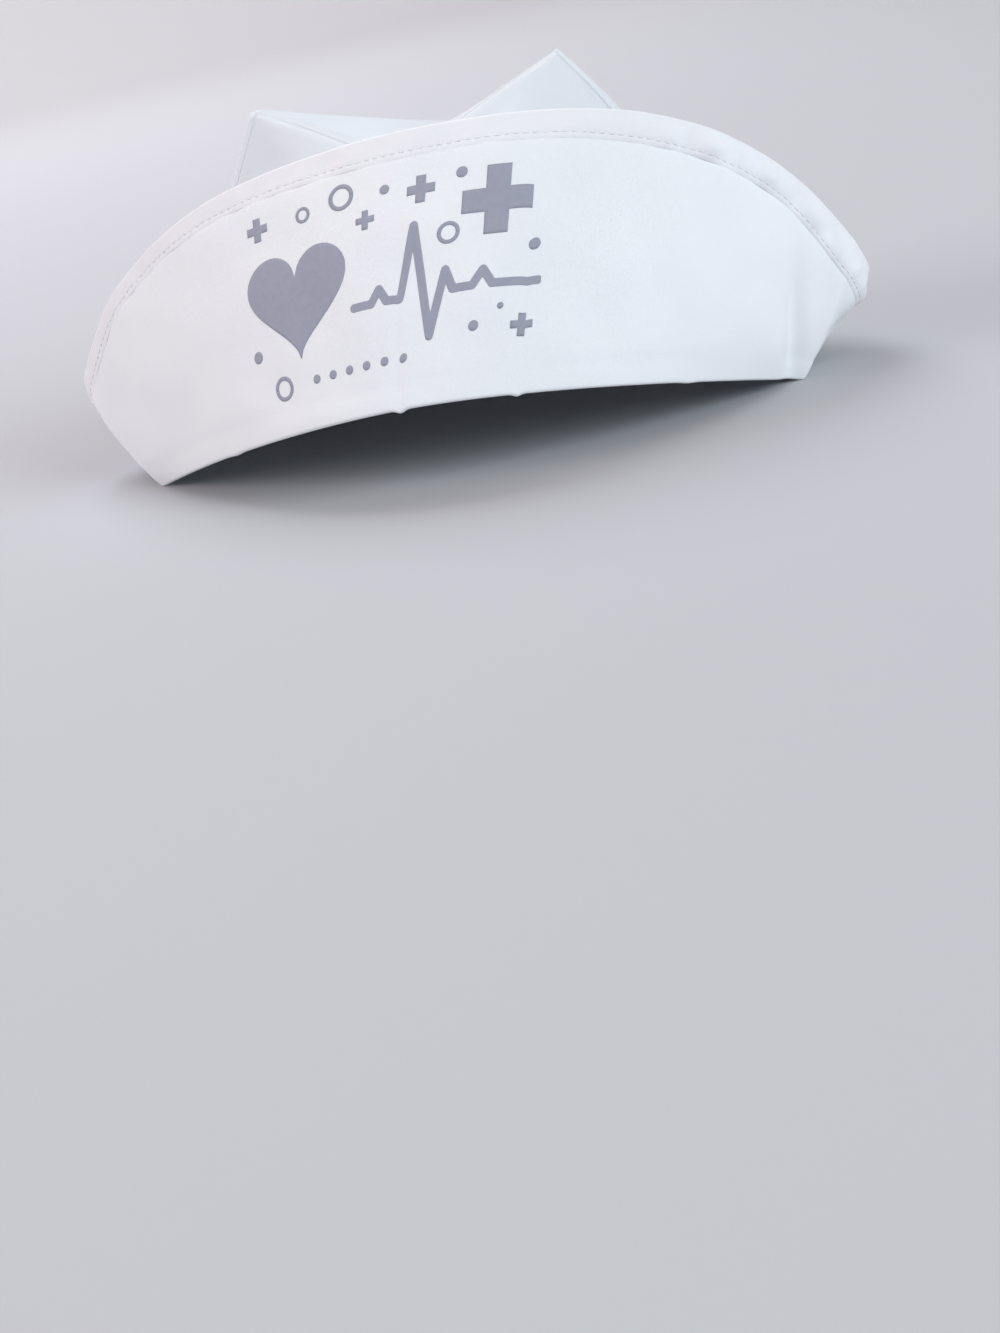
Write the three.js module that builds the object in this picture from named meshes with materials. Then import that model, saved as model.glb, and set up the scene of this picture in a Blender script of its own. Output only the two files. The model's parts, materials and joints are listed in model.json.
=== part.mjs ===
// Nurse cap of white cotton: a soft crown with two peaks inside a turned-up cuff with a stitched hem band.
// Millimetres, +Z up. The front faces -Y and +X is on the viewer's right.
// The cap rests on the two side corners and the back of its rim, and the front of the rim is arched.

import * as THREE from "three";

// Rim: the cuff's lower fold
const rimHalfWidth = 110; // from the middle to a side corner
const rimFrontDepth = 68; // from the line between the corners to the front
const rimBackDepth = 95; // from that line to the back
const rimFrontArch = 29; // how high the front of the rim stands above the corners
const rimCornerFold = 10; // between the front and back layers where they turn at a corner
const rimCornerRound = 3.5; // how far that turn bulges sideways

// Cuff
const cuffWall = 2; // doubled cotton with its stiffening
const cuffEdgeWall = 1; // the thinner edge that the hem band covers
const cuffFrontHeight = 75; // upright height of the front
const cuffFrontLean = 33; // how far the top of the front lies behind its lower edge
const cuffFrontSkew = 14; // how far the soft top of the front leans to the right
const cuffTipHeight = 22.5; // lowest point of the upper edge, at each side tip
const cuffTipFlare = 28; // how far a tip stands out past its corner
const cuffTipSweep = 14; // how far a tip lies behind its corner
const cuffTipFold = 24.5; // front to back across an open tip
const cuffTipRound = 7.8; // how far the turn of the tip bulges sideways
const cuffBackHeight = 48; // height of the back
const cuffBackLean = 4; // how far the top of the back stands out behind the rim
const cuffBelly = 2.5; // outward swell halfway up
const leftBrimLift = 2.4; // how much fuller the upper edge is on the left half of the front
const rightTipHollow = 4.2; // how far the turn of the right tip is pressed in below the hem band
const foldFlat = 0.25; // half the width of the level underside of the lower fold, as a share of cuffWall
const foldRise = 0.125; // how far its rounded edges stand above that underside, as a share of cuffWall

// Hem band: folded over the cuff's upper edge
const hemDepth = 8;
const hemWall = 1;

// Crown
const crownWall = 1.2; // one layer of cotton with its seam allowance
const crownRimLift = 1.5; // how far its lower edge lies above the cuff's lower fold
const peakHeight = 115; // above the side corners
const peakHalfSpacing = 50; // from the middle to a peak
const peakSetback = 16; // of the peaks behind the line between the corners
const peakFold = 6; // between the front and back ridges at a peak
const leftPeakRound = 6; // how far the left peak bulges sideways
const rightPeakRound = 0.6; // the same for the right peak, which is pinched flat
const valleyFrontDrop = 21.5; // how far the front ridge dips below the peaks
const valleyFrontSetback = -13; // of the front of the valley behind the corners
const ridgeFrontBow = 1.9; // how far the slopes of the front ridge bow upwards
const valleyBackDrop = 18.5; // how far the back ridge dips below the peaks
const valleyBackSetback = 52; // of the back of the valley behind the corners
const valleyBackOffset = 5; // of the back of the valley to the right
const topSag = 3; // how far the three-cornered top sags between its ridges
const crownFrontSwell = 9; // outward swell of the front wall
const crownBackSwell = 15; // outward swell of the back wall
const rightSideSwell = 5; // outward swell of the right side seam
const leftSideSwell = 0.5; // outward swell of the left side seam

// Fit between the pieces
const clearance = 0.3;
const seamGap = 0.4;

// Curve of each edge: the power that shapes it from the middle out to the side
const rimFrontCurve = 2.0;
const rimBackCurve = 2.0;
const rimArchCurve = 1.88;
const brimPlanCurve = 1.8;
const brimBackCurve = 2.4;
const brimRiseCurve = 2.35;
const brimRiseRound = 0.66;
const ridgeCurve = 1.1;
const sideSwellRise = 2; // a higher power lifts the swell of a side seam towards its peak

// How much of the brim's half width belongs to the front face, the rest being the turn of the tip
const tipFoldShare = 0.96;

// Shares of the front half width where the left brim lift grows, and over which it fades at the tip
const brimLiftRise = { from: 0.2, to: 0.7 };
const brimLiftFade = 0.2;

// Shares of the cuff's height between which the right tip's hollow lies
const tipHollowRise = { from: -0.15, to: 0.85 };

// The hem band's rounded crest: shares of its rise above the cuff's edge and of its half thickness
const hemCrest = [
  { rise: 0.7, half: 0.75 },
  { rise: 1, half: 0.25 },
];

// Faces along each part of the ring, and up the walls. Front and back match, so that the top joins them.
const frontSteps = 20;
const turnSteps = 6;
const backSteps = frontSteps;
const halfCount = frontSteps + turnSteps + backSteps;
const ringCount = 2 * halfCount;
const mitreLimit = 0.5; // how sharp a corner keeps the full thickness of the wall
const slopeStep = 0.01; // share of a wall's height over which its slope is measured
const crownLevels = 8;
const cuffLevels = 4;

// Soft dents in the cuff. "across" is a share of the half width (right side positive) on the front,
// "from" and "to" are shares of the cuff's height, "spread" of its half width and "depth" of cuffWall.
const cuffDents = [
  { across: 0.93, from: 0.05, to: 1.0, spread: 0.07, depth: 0.9 },
  { across: -0.94, from: 0.1, to: 1.0, spread: 0.08, depth: 0.5 },
  { across: 0.52, from: 0.3, to: 1.1, spread: 0.14, depth: 0.35 },
  { across: -0.5, from: 0.0, to: 0.9, spread: 0.16, depth: 0.35 },
];

// Soft folds in the crown's back wall. "across" is a share of the half width at the back,
// "from" and "to" are shares of its height, "spread" of its half width and "depth" of crownBackSwell.
const crownBackDents = [
  { across: 0.05, from: 0.4, to: 0.98, spread: 0.16, depth: 0.3 },
  { across: 0.55, from: 0.1, to: 0.9, spread: 0.12, depth: 0.25 },
  { across: -0.6, from: 0.15, to: 0.95, spread: 0.12, depth: 0.22 },
];

// A soft rise and fall: 1 in the middle between two ends and 0 outside them.
function swellBetween(value, from, to) {
  const share = (value - from) / (to - from);
  return share <= 0 || share >= 1 ? 0 : Math.sin(Math.PI * share) ** 2;
}

// A soft step from 0 at the start to 1 at the end.
function stepUp(value, from, to) {
  const share = Math.min(Math.max((value - from) / (to - from), 0), 1);
  return share * share * (3 - 2 * share);
}

function dentDepth(dents, across, share) {
  let depth = 0;
  for (const dent of dents) {
    const sideways = (across - dent.across) / dent.spread;
    depth += dent.depth * Math.exp(-sideways * sideways) * swellBetween(share, dent.from, dent.to);
  }
  return depth;
}

// A curve from one point to another that is pulled towards a third.
function bend(start, pull, end, share) {
  return start.clone().multiplyScalar((1 - share) ** 2)
    .addScaledVector(pull, 2 * share * (1 - share))
    .addScaledVector(end, share ** 2);
}

// A place on the ring, counted round from the middle of the front: which part of the ring it is in,
// how far across it lies from the middle (0) to the side (1), and on which side.
function ringPlace(index) {
  const wrapped = ((index % ringCount) + ringCount) % ringCount;
  const side = wrapped <= halfCount ? 1 : -1;
  const step = side > 0 ? wrapped : ringCount - wrapped;
  if (step <= frontSteps) {
    return { part: "front", share: step / frontSteps, side };
  }
  if (step < frontSteps + turnSteps) {
    return { part: "turn", share: (step - frontSteps) / turnSteps, side };
  }
  return { part: "back", share: (halfCount - step) / backSteps, side };
}

// The rim, on the right-hand side
function rimPoint({ part, share }) {
  if (part === "front") {
    const inward = 1 - share ** rimFrontCurve;
    const arch = rimFrontArch * (1 - share ** rimArchCurve);
    return new THREE.Vector3(rimHalfWidth * share, -rimFrontDepth * inward, arch);
  }
  const frontCorner = new THREE.Vector3(rimHalfWidth, 0, 0);
  const backCorner = new THREE.Vector3(rimHalfWidth, rimCornerFold, 0);
  if (part === "turn") {
    const pull = new THREE.Vector3(rimHalfWidth + rimCornerRound, rimCornerFold / 2, 0);
    return bend(frontCorner, pull, backCorner, share);
  }
  const outward = 1 - share ** rimBackCurve;
  const back = rimCornerFold + (rimBackDepth - rimCornerFold) * outward;
  return new THREE.Vector3(rimHalfWidth * share, back, 0);
}

// The cuff's upper edge, on the right-hand side
function brimFrontPoint(share) {
  const across = share * tipFoldShare;
  const frontTop = rimFrontArch + cuffFrontHeight;
  const depth = rimFrontDepth - cuffFrontLean + cuffTipSweep;
  const rise = (1 - across ** brimRiseCurve) ** brimRiseRound;
  return new THREE.Vector3(
    (rimHalfWidth + cuffTipFlare) * across,
    cuffTipSweep - depth * (1 - across ** brimPlanCurve),
    cuffTipHeight + (frontTop - cuffTipHeight) * rise,
  );
}

function brimPoint({ part, share }) {
  if (part === "front") {
    return brimFrontPoint(share);
  }
  const frontTip = brimFrontPoint(1);
  const backTip = new THREE.Vector3(frontTip.x, frontTip.y + cuffTipFold, cuffTipHeight);
  if (part === "turn") {
    const pull = new THREE.Vector3(frontTip.x + cuffTipRound, frontTip.y + cuffTipFold / 2, cuffTipHeight);
    const point = bend(frontTip, pull, backTip, share);
    point.z = cuffTipHeight + (frontTip.z - cuffTipHeight) * (1 - share) ** 2;
    return point;
  }
  const middle = 1 - share ** brimBackCurve;
  return new THREE.Vector3(
    backTip.x * share,
    backTip.y + (rimBackDepth + cuffBackLean - backTip.y) * middle,
    cuffTipHeight + (cuffBackHeight - cuffTipHeight) * middle,
  );
}

// The crown's ridge round its top, drawn for the right-hand side
function ridgePoint({ part, share, side }) {
  const frontPeak = new THREE.Vector3(peakHalfSpacing, peakSetback - peakFold / 2, peakHeight);
  const backPeak = new THREE.Vector3(peakHalfSpacing, peakSetback + peakFold / 2, peakHeight);
  if (part === "turn") {
    const round = side > 0 ? rightPeakRound : leftPeakRound;
    const pull = new THREE.Vector3(peakHalfSpacing + round, peakSetback, peakHeight);
    return bend(frontPeak, pull, backPeak, share);
  }
  const inFront = part === "front";
  const peak = inFront ? frontPeak : backPeak;
  const drop = inFront ? valleyFrontDrop : valleyBackDrop;
  const setback = inFront ? valleyFrontSetback - peakFold / 2 : valleyBackSetback;
  const dip = 1 - share ** ridgeCurve;
  const bow = inFront ? ridgeFrontBow * Math.sin(Math.PI * share) : 0;
  return new THREE.Vector3(peak.x * share, peak.y + (setback - peak.y) * dip, peak.z - drop * dip + bow);
}

function onSide(point, side) {
  point.x *= side;
  return point;
}

// The normal of a ring surface at a place, mitred where the surface turns to keep the wall's thickness.
function ringNormal(surface, index, share) {
  const here = surface(index, share);
  const up = surface(index, share + slopeStep).sub(surface(index, share - slopeStep));
  const before = here.clone().sub(surface(index - 1, share)).cross(up).normalize();
  const after = surface(index + 1, share).sub(here).cross(up).normalize();
  const normal = before.clone().add(after).normalize();
  return normal.divideScalar(normal.dot(before));
}

// The middle of the cuff's wall, from its lower fold (0) to its upper edge (1)
function cuffBase(index, share) {
  const place = ringPlace(index);
  const point = onSide(rimPoint(place).lerp(brimPoint(place), share), place.side);
  if (place.part === "front") {
    point.x += cuffFrontSkew * share * (1 - place.share ** 2);
  }
  if (place.part === "front" && place.side < 0) {
    const rise = stepUp(place.share, brimLiftRise.from, brimLiftRise.to);
    point.z += leftBrimLift * share * rise * stepUp(1 - place.share, 0, brimLiftFade);
  }
  return point;
}

function cuffDent(place, share) {
  if (place.part === "front") {
    return cuffWall * dentDepth(cuffDents, place.side * place.share, share);
  }
  if (place.part === "turn" && place.side > 0) {
    const depth = rightTipHollow * Math.sin(Math.PI * place.share);
    return depth * swellBetween(share, tipHollowRise.from, tipHollowRise.to);
  }
  return 0;
}

function cuffPoint(index, share, outward) {
  const normal = ringNormal(cuffBase, index, share);
  const swell = cuffBelly * Math.sin(Math.PI * Math.min(Math.max(share, 0), 1));
  const dent = cuffDent(ringPlace(index), share);
  return cuffBase(index, share).addScaledVector(normal, swell - dent + outward);
}

function cuffHeight(index) {
  return cuffBase(index, 0).distanceTo(cuffBase(index, 1));
}

// The underside of the lower fold is level, so that the cap rests on it.
function foldPoint(index, outward) {
  const level = ringNormal(cuffBase, index, 0).setZ(0).normalize();
  return cuffBase(index, 0).addScaledVector(level, outward);
}

// A closed ring: at each place on the ring, "section" gives the same number of points round the section.
// Each four-sided face is split along its shorter diagonal, so that surfaces a little apart stay parallel.
function ringSolid(section) {
  const sections = Array.from({ length: ringCount }, (unused, index) => section(index));
  const points = sections.flat();
  const sides = sections[0].length;
  const faces = [];
  for (let index = 0; index < ringCount; index += 1) {
    const next = (index + 1) % ringCount;
    for (let side = 0; side < sides; side += 1) {
      const along = (side + 1) % sides;
      const [a, d] = [index * sides + side, index * sides + along];
      const [b, c] = [next * sides + side, next * sides + along];
      if (points[a].distanceTo(points[c]) < points[b].distanceTo(points[d])) {
        faces.push(a, b, c, a, c, d);
      } else {
        faces.push(a, b, d, b, c, d);
      }
    }
  }
  const geometry = new THREE.BufferGeometry().setFromPoints(points);
  geometry.setIndex(faces);
  geometry.computeVertexNormals();
  return geometry;
}

// The cuff's section: up the outside, over the thin edge that the hem band covers, and down the inside
function cuffSection(index) {
  const height = cuffHeight(index);
  const foldHalf = cuffWall * foldFlat;
  const stepShare = 1 - hemDepth / height;
  const rows = [{ share: cuffWall / 2 / height, half: cuffWall / 2 }];
  for (let level = 1; level < cuffLevels; level += 1) {
    rows.push({ share: (stepShare * level) / cuffLevels, half: cuffWall / 2 });
  }
  rows.push({ share: stepShare - (cuffWall - cuffEdgeWall) / (2 * height), half: cuffWall / 2 });
  rows.push({ share: stepShare, half: cuffEdgeWall / 2 });
  rows.push({ share: 1, half: cuffEdgeWall / 2 });
  const aboveFold = (point) => point.setZ(Math.max(point.z, cuffBase(index, 0).z + cuffWall * foldRise));
  const outside = rows.map((row) => aboveFold(cuffPoint(index, row.share, row.half)));
  const inside = rows.map((row) => aboveFold(cuffPoint(index, row.share, -row.half))).reverse();
  return [foldPoint(index, foldHalf), ...outside, ...inside, foldPoint(index, -foldHalf)];
}

// The hem band's section: a strip folded over the cuff's edge. "below" is measured down from that edge.
function hemSection(index) {
  const height = cuffHeight(index);
  const inner = cuffEdgeWall / 2 + clearance;
  const outer = inner + hemWall;
  const lowest = hemDepth - clearance;
  const highest = -(clearance + hemWall);
  const crest = hemCrest.map(({ rise, half }) => ({ below: highest * rise, outward: outer * half }));
  const rows = [
    { below: lowest, outward: inner },
    { below: lowest, outward: outer },
    { below: 0, outward: outer },
    ...crest,
    ...crest.map(({ below, outward }) => ({ below, outward: -outward })).reverse(),
    { below: 0, outward: -outer },
    { below: lowest, outward: -outer },
    { below: lowest, outward: -inner },
    { below: -clearance, outward: -inner },
    { below: -clearance, outward: inner },
  ];
  return rows.map((row) => cuffPoint(index, 1 - row.below / height, row.outward));
}

// The crown's outer face, from its lower edge (0) to the ridge (1)
function crownBase(index, share) {
  const place = ringPlace(index);
  const rim = cuffPoint(index, crownRimLift / cuffHeight(index), -cuffWall / 2 - clearance);
  const ridge = onSide(ridgePoint(place), place.side);
  if (place.part === "back") {
    ridge.x += valleyBackOffset * (1 - place.share);
  }
  return rim.lerp(ridge, share);
}

function crownPoint(index, share) {
  const place = ringPlace(index);
  const normal = ringNormal(crownBase, index, share);
  const middle = place.part === "turn" ? 0 : 1 - place.share ** 2;
  const sideSwell = place.side > 0 ? rightSideSwell : leftSideSwell;
  let swell = sideSwell * (1 - middle) * Math.sin(Math.PI * share ** sideSwellRise);
  if (place.part === "front") {
    swell += crownFrontSwell * middle * Math.sin(Math.PI * share);
  }
  if (place.part === "back") {
    const dent = dentDepth(crownBackDents, place.side * place.share, share);
    swell += crownBackSwell * middle * (Math.sin(Math.PI * share) - dent);
  }
  return crownBase(index, share).addScaledVector(normal, swell);
}

// The crown as one surface of shared points: the wall round the ring, and the top between its ridges.
// Each face knows whether it belongs to the front panel.
function crownSurface() {
  const points = [];
  const faces = [];
  const addQuad = (a, b, c, d, inFront) => {
    if (a !== b && b !== c) {
      faces.push({ corners: [a, b, c], inFront });
    }
    if (c !== d && d !== a) {
      faces.push({ corners: [a, c, d], inFront });
    }
  };

  const wall = [];
  for (let index = 0; index < ringCount; index += 1) {
    wall.push([]);
    for (let level = 0; level <= crownLevels; level += 1) {
      wall[index].push(points.length);
      points.push(crownPoint(index, level / crownLevels));
    }
  }
  for (let index = 0; index < ringCount; index += 1) {
    const here = wall[index];
    const next = wall[(index + 1) % ringCount];
    const inFront = index < frontSteps || index >= ringCount - frontSteps;
    for (let level = 0; level < crownLevels; level += 1) {
      addQuad(here[level], next[level], next[level + 1], here[level + 1], inFront);
    }
  }

  // Columns across the top, from the left peak to the right. Each runs from the front ridge to the back.
  const ridge = (index) => wall[(index + ringCount) % ringCount][crownLevels];
  const columns = [];
  for (let step = -frontSteps; step <= frontSteps; step += 1) {
    const column = [ridge(step)];
    const back = ridge(halfCount - step);
    for (let row = 1; row < turnSteps; row += 1) {
      const share = row / turnSteps;
      const point = points[column[0]].clone().lerp(points[back], share);
      point.z -= topSag * Math.sin(Math.PI * share) * (1 - (step / frontSteps) ** 2);
      column.push(points.length);
      points.push(point);
    }
    column.push(back);
    columns.push(column);
  }
  const turnRows = Array.from({ length: turnSteps + 1 }, (unused, row) => row);
  const peakTurn = (side) => turnRows.map((row) => ridge(side * (frontSteps + row)));
  columns.unshift(peakTurn(-1));
  columns.push(peakTurn(1));
  for (let column = 0; column + 1 < columns.length; column += 1) {
    const left = columns[column];
    const right = columns[column + 1];
    for (let row = 0; row < turnSteps; row += 1) {
      addQuad(left[row], right[row], right[row + 1], left[row + 1], false);
    }
  }
  return { points, faces };
}

// The mitred normal at each point of a surface, so that a wall offset along it keeps its thickness.
function pointNormals({ points, faces }) {
  const normals = points.map(() => new THREE.Vector3());
  const faceNormals = faces.map(({ corners }) => {
    const triangle = new THREE.Triangle(...corners.map((corner) => points[corner]));
    return triangle.getNormal(new THREE.Vector3());
  });
  faces.forEach(({ corners }, face) => {
    corners.forEach((corner, place) => {
      const toNext = points[corners[(place + 1) % 3]].clone().sub(points[corner]);
      const toLast = points[corners[(place + 2) % 3]].clone().sub(points[corner]);
      normals[corner].addScaledVector(faceNormals[face], toNext.angleTo(toLast));
    });
  });
  normals.forEach((normal) => normal.normalize());
  const tightest = points.map(() => 1);
  faces.forEach(({ corners }, face) => {
    for (const corner of corners) {
      tightest[corner] = Math.min(tightest[corner], normals[corner].dot(faceNormals[face]));
    }
  });
  return normals.map((normal, point) => normal.divideScalar(Math.max(tightest[point], mitreLimit)));
}

// One panel of the crown as a closed wall, drawn back a little from the seams that it shares.
function panelSolid(surface, normals, isMine) {
  const mine = surface.faces.filter(isMine);
  const others = new Set(surface.faces.filter((face) => !isMine(face)).flatMap((face) => face.corners));
  const towardsPanel = new Map();
  for (const { corners } of mine) {
    const middle = new THREE.Vector3();
    corners.forEach((corner) => middle.addScaledVector(surface.points[corner], 1 / corners.length));
    for (const corner of corners) {
      const pull = towardsPanel.get(corner) ?? new THREE.Vector3();
      pull.add(middle.clone().sub(surface.points[corner]).normalize());
      towardsPanel.set(corner, pull);
    }
  }

  const used = [...towardsPanel.keys()];
  const newIndex = new Map(used.map((corner, order) => [corner, order]));
  const outside = used.map((corner) => {
    const point = surface.points[corner].clone();
    const shift = others.has(corner) ? seamGap / 2 : 0;
    return point.addScaledVector(towardsPanel.get(corner).normalize(), shift);
  });
  const inside = outside.map((point, order) => {
    return point.clone().addScaledVector(normals[used[order]], -crownWall);
  });

  const faces = [];
  const edges = new Map();
  for (const { corners } of mine) {
    const [a, b, c] = corners.map((corner) => newIndex.get(corner));
    faces.push(a, b, c, a + used.length, c + used.length, b + used.length);
    for (const [from, to] of [[a, b], [b, c], [c, a]]) {
      if (!edges.delete(`${to} ${from}`)) {
        edges.set(`${from} ${to}`, [from, to]);
      }
    }
  }
  for (const [from, to] of edges.values()) {
    faces.push(to, from, from + used.length, to, from + used.length, to + used.length);
  }
  const geometry = new THREE.BufferGeometry().setFromPoints(outside.concat(inside));
  geometry.setIndex(faces);
  geometry.computeVertexNormals();
  return geometry;
}

// White cotton, a little cooler on the crown
const cuffWhite = 0xf3f3f6;
const hemWhite = 0xf5f5f8;
const crownFrontWhite = 0xeeeef3;
const crownBackWhite = 0xf0f0f4;
const cottonRoughness = 0.87;

function piece(name, geometry, colour) {
  const cotton = { color: colour, roughness: cottonRoughness, metalness: 0 };
  const material = new THREE.MeshStandardMaterial(cotton);
  const mesh = new THREE.Mesh(geometry, material);
  mesh.name = name;
  return mesh;
}

const crown = crownSurface();
const crownNormals = pointNormals(crown);
const cap = new THREE.Group();
cap.add(piece("cuff", ringSolid(cuffSection), cuffWhite));
cap.add(piece("hem_band", ringSolid(hemSection), hemWhite));
cap.add(piece("crown_front", panelSolid(crown, crownNormals, (face) => face.inFront), crownFrontWhite));
cap.add(piece("crown_back", panelSolid(crown, crownNormals, (face) => !face.inFront), crownBackWhite));

// The origin lies under the middle of the whole cap, on the surface that it rests on.
const extent = new THREE.Box3().setFromObject(cap);
const middle = extent.getCenter(new THREE.Vector3());
cap.position.set(-middle.x, -middle.y, -extent.min.z);
cap.updateMatrixWorld(true);

export default cap;
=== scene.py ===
"""Looks of a white cotton nurse cap: a turned-up cuff with a stitched hem band round a crown with peaks.
The cloth pieces follow the same named surfaces as the solids, with soft folds, puckers and stitches."""
import json
import math
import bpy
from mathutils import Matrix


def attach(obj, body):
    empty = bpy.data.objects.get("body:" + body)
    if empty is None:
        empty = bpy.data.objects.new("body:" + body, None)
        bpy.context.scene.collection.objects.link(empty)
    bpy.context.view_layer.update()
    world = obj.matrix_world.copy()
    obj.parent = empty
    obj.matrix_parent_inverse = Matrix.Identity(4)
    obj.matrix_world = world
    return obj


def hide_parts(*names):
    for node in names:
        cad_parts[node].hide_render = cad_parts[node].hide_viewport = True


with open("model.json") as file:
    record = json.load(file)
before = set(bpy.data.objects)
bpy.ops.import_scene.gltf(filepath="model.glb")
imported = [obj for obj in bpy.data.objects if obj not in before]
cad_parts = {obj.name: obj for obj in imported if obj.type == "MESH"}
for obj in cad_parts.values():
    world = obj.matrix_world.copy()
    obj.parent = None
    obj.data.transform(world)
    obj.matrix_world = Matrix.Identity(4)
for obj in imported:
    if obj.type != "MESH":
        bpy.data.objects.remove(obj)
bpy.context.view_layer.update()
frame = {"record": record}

from types import SimpleNamespace

import bpy
import numpy as np
from mathutils import Matrix, Vector

# Sizes are in millimetres until a mesh is made. The middle of the rim's back gives the cap's place.
MM = 0.001
RIM_HALF_WIDTH = 110
RIM_FRONT_DEPTH = 68
RIM_BACK_DEPTH = 95
RIM_FRONT_ARCH = 29
RIM_CORNER_FOLD = 10
RIM_CORNER_ROUND = 3.5

CUFF_WALL = 2
CUFF_EDGE_WALL = 1
CUFF_FRONT_HEIGHT = 75
CUFF_FRONT_LEAN = 33
CUFF_FRONT_SKEW = 14
CUFF_TIP_HEIGHT = 22.5
CUFF_TIP_FLARE = 28
CUFF_TIP_SWEEP = 14
CUFF_TIP_FOLD = 24.5
CUFF_TIP_ROUND = 7.8
CUFF_BACK_HEIGHT = 48
CUFF_BACK_LEAN = 4
CUFF_BELLY = 2.5
CUFF_EDGE_STEP = 1.0
CUFF_FREE_HEIGHTS = (1, 14)  # heights between which the swells set in
PRESSED_DEPTH = 0.26  # a faint line that is pressed in along the cuff's foot
PRESSED_HEIGHT = 7.5
PRESSED_WIDTH = 2.2

HEM_DEPTH = 8
HEM_DEPTH_RIGHT = 9.4
HEM_DEPTH_LEFT = 6.2
HEM_TIP_DEPTH = 2.1  # how much deeper it gets still towards the right tip
HEM_CLEARANCE = 0.3
HEM_RISE = 0.12  # how far the band stands proud of the cuff on the left
HEM_RISE_RIGHT = 0.14  # how much more it does on the right
HEM_PUFF = 1.0  # how far the band swells between its edges on the right
HEM_CREST = 0.9  # how far the band's fold stands above the cuff's edge
SEAM_DIP = 0.08  # how far the cuff is drawn in along the hem's stitches
SEAM_DIP_REACH = 3
HEM_PUFF_CURVE = 1.4
HEM_INSIDE_END = 0.2  # how much shorter the band is inside
HEM_HOLLOW_END = 0.4  # the same for the hollow that holds the cuff's edge
HEM_HOLLOW_TOP = 0.2

# Spans across the front in which the band changes
HEM_RIGHT_SPAN = (0.1, 0.8)
HEM_LEFT_SPAN = (0.1, 0.9)
HEM_TIP_SPAN = (0.82, 1.0)
HEM_RISE_SPAN = (-0.1, 0.7)
HEM_PUFF_SPAN = (0.1, 0.7)
HEM_PUCKER_SPAN = (0.25, 0.7)

# Puckers: share of them on the left, slant, creases between them, and where they are down the band
PUCKER_LEFT = 0.2
PUCKER_SLANT = 0.35
PUCKER_CREASE_WIDTH = 0.5
PUCKER_CREASE_DEPTH = 0.35
PUCKER_MIDDLE = 0.6
PUCKER_SPREAD = 0.45

CROWN_RIM_LIFT = 1.5
CROWN_CLEARANCE = 0.3
PEAK_HEIGHT = 115
PEAK_HALF_SPACING = 50
PEAK_SETBACK = 16
PEAK_FOLD = 6
LEFT_PEAK_ROUND = 6
RIGHT_PEAK_ROUND = 0.6
VALLEY_FRONT_DROP = 21.5
VALLEY_FRONT_SETBACK = -13
RIDGE_FRONT_BOW = 1.9
VALLEY_BACK_DROP = 18.5
VALLEY_BACK_SETBACK = 52
VALLEY_BACK_OFFSET = 5
TOP_SAG = 3
CROWN_FRONT_SWELL = 9
CROWN_BACK_SWELL = 15
RIGHT_SIDE_SWELL = 5
LEFT_SIDE_SWELL = 0.5
SEAM_GAP = 0.08
CROWN_CLOTH = 0.9  # thickness of the crown's cloth
CROWN_ROUNDS = 5  # rounds of easing
CROWN_FOLD_HEIGHTS = (12, 45)
CROWN_FOLD_STRETCH = 0.35  # under 1 makes the folds longer upwards
FOLD_SEAM_SPAN = (0, 16)
FOLD_RIDGE_SPAN = (0, 12)

# Dip along the crown's seams and swell beside it: depth, distance from the seam and width
SEAM_SHAPES = [(-0.6, 0, 0.9), (0.22, 2.6, 1.5)]
SEAM_FADE = 0.85  # how much of it is lost at the sides and peaks
SIDE_SEAM_SPAN = (20, 40)
SIDE_RIDGE_SPAN = (1, 5)
PEAK_SPAN = (42, 49)

# Curve of each edge: the power that shapes it from the middle out to the side
RIM_FRONT_CURVE = 2.0
RIM_BACK_CURVE = 2.0
RIM_ARCH_CURVE = 1.88
BRIM_PLAN_CURVE = 1.8
BRIM_BACK_CURVE = 2.4
BRIM_RISE_CURVE = 2.35
BRIM_RISE_ROUND = 0.66
RIDGE_CURVE = 1.1
SIDE_SWELL_RISE = 2
CROWN_BACK_CURVE = 1.3

# Brim and tips
TIP_FOLD_SHARE = 0.96  # how far out on the front's curve the tips fold
LEFT_BRIM_LIFT = 2.4  # how much higher the brim is in the left half
TURN_REACH = 0.18  # how far "across" goes on past 1 round the turn of a tip

# How far the corners of each edge are rounded
RIM_SOFTNESS = 0.6
BRIM_SOFTNESS = 0.7
RIDGE_SOFTNESS = 0.8

# Soft dents in the cuff: where across the front (right positive) at its foot, how that shifts up to its
# top, between which shares of its height, how wide (share of the half width) and how deep (mm)
CUFF_DENTS = [
    (0.93, 0.0, 0.05, 1.0, 0.07, 1.6),
    (-0.94, 0.0, 0.1, 1.0, 0.08, 1.0),
    (0.52, 0.0, 0.3, 1.1, 0.14, 0.7),
    (-0.5, 0.0, 0.0, 0.9, 0.16, 0.7),
    (1.1, 0.0, -0.15, 0.85, 0.06, 4.2),
    (1.02, 0.0, -0.05, 0.85, 0.06, 1.2),
    (0.972, -0.11, -0.3, 0.86, 0.022, 3.2),
    (0.86, -0.06, -0.2, 0.7, 0.03, 0.3),
    (-0.93, 0.03, -0.2, 0.9, 0.025, 0.45),
]

# Sharp creases where the cuff's front turns back at the tips, with the same columns (ridges are negative)
CUFF_CREASES = [
    (1.0, 0.0, -0.7, 2.2, 0.03, -2.2),
    (-1.0, 0.0, -0.7, 1.7, 0.04, -1.0),
]

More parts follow.
